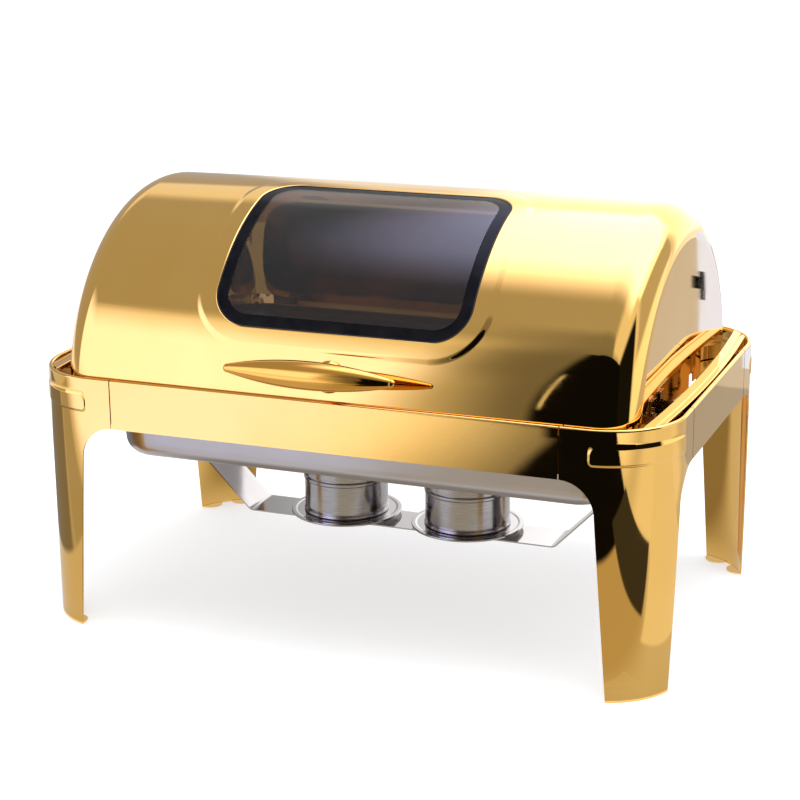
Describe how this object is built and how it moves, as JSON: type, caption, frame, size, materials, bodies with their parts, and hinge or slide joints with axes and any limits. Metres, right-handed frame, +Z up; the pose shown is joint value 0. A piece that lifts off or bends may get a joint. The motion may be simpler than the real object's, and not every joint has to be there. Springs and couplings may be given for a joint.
{
  "type": "roll top chafer",
  "caption": "Roll-top chafing dish: a curved lid with a window and handle rolls back over a four-legged frame with water pan, food pan and fuel cups.",
  "frame": {"origin": "on the table under the middle of the whole object, handle included", "axes": "+X along the lid's pivot line to the right, +Y to the back, away from the handle, +Z up"},
  "size_m": [0.6598, 0.4687, 0.4329],
  "materials": {
    "gold": "polished gold-coloured coating on stainless steel",
    "stainless": "satin",
    "cup_steel": "brushed round the cup",
    "black_metal": "black",
    "black_rubber": "matte",
    "smoked_glass": "smoked, toughened"
  },
  "bodies": {
    "frame": {"leg_front_left": "gold", "leg_front_right": "gold", "leg_rear_left": "gold", "leg_rear_right": "gold", "rail_front": "gold", "rail_rear": "gold", "rail_left": "gold", "rail_right": "gold", "splice_plates": "stainless", "bracket_left": "gold", "bracket_right": "gold", "pivot_pin_left": "stainless", "pivot_pin_right": "stainless", "pivot_bush_left": "black_metal", "pivot_bush_right": "black_metal", "pivot_washers": "stainless", "pivot_nuts": "stainless", "support_ring": "stainless", "ring_brackets": "stainless", "ring_rivets": "stainless", "lid_buffers": "black_rubber", "burner_bar": "stainless", "bar_screws": "stainless", "plate_left": "stainless", "plate_right": "stainless", "plate_rivets": "stainless"},
    "water_pan": {"water_pan": "stainless"},
    "food_pan": {"food_pan": "stainless"},
    "fuel_cup_left": {"fuel_cup_left": "cup_steel"},
    "fuel_cup_right": {"fuel_cup_right": "cup_steel"},
    "cup_cover_left": {"cup_cover_left": "cup_steel"},
    "cup_cover_right": {"cup_cover_right": "cup_steel"},
    "lid": {"lid_shell": "gold", "window_glass": "smoked_glass", "window_gasket": "black_rubber", "window_retainer": "black_metal", "handle_grip": "gold", "handle_stem": "gold", "handle_screw": "stainless", "handle_washer": "stainless"}
  },
  "joints": [
    {"name": "lid_roll", "type": "hinge", "parent": "frame", "child": "lid", "pos_m": [0, 0.02388, 0.228], "axis": [-1, 0, 0], "range_deg": [0, 90]},
    {"name": "water_pan_lift", "type": "slide", "parent": "frame", "child": "water_pan", "axis": [0, 0, 1], "range_m": [0, 0.02]},
    {"name": "food_pan_lift", "type": "slide", "parent": "water_pan", "child": "food_pan", "axis": [0, 0, 1], "range_m": [0, 0.045]},
    {"name": "cup_left_lift", "type": "slide", "parent": "frame", "child": "fuel_cup_left", "axis": [0, 0, 1], "range_m": [0, 0.025]},
    {"name": "cup_right_lift", "type": "slide", "parent": "frame", "child": "fuel_cup_right", "axis": [0, 0, 1], "range_m": [0, 0.025]},
    {"name": "cover_left_turn", "type": "hinge", "parent": "fuel_cup_left", "child": "cup_cover_left", "pos_m": [-0.068, 0.02388, 0.134], "axis": [0, 0, 1], "continuous": true},
    {"name": "cover_right_turn", "type": "hinge", "parent": "fuel_cup_right", "child": "cup_cover_right", "pos_m": [0.068, 0.02388, 0.134], "axis": [0, 0, 1], "continuous": true}
  ]
}
